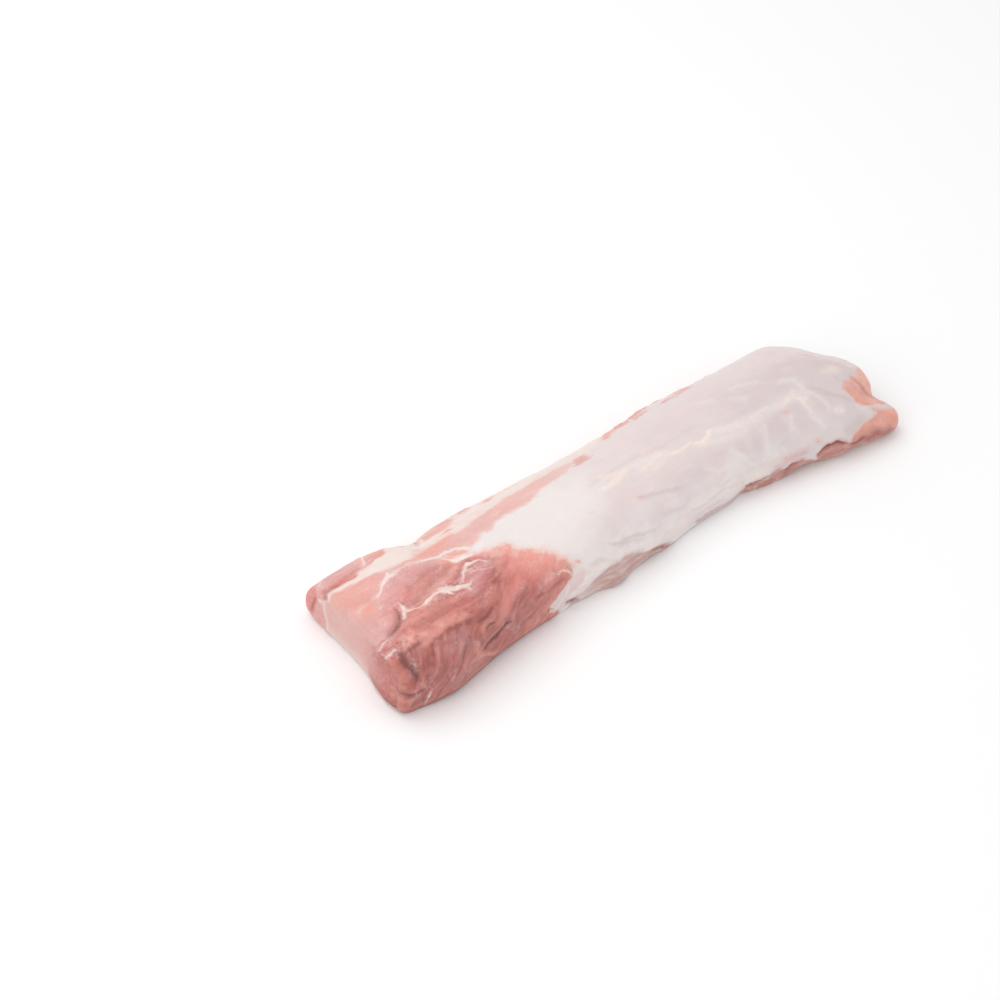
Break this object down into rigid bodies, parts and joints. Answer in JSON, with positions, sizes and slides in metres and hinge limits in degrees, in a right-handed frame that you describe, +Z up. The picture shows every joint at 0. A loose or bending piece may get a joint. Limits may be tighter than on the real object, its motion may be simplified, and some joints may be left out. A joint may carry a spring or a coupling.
{
  "type": "raw boneless pork loin",
  "caption": "Long raw boneless pork loin lying flat: silverskin over a rounded eye muscle, a square-cut leg end under a red muscle cap, a chain strip along the back and a tapered rib end.",
  "frame": {"origin": "on the table, at the middle of the loin's bounding box", "axes": "+X along the loin from the leg end to the rib end, +Y towards the back edge with the chain muscle, +Z up through the silverskin"},
  "size_m": [0.6274, 0.1762, 0.0688],
  "materials": {
    "raw_meat": "moist raw pork under pale silverskin, softly glossy, with red muscle and white fat"
  },
  "bodies": {
    "root": {"pork_loin": "raw_meat"}
  },
  "joints": []
}
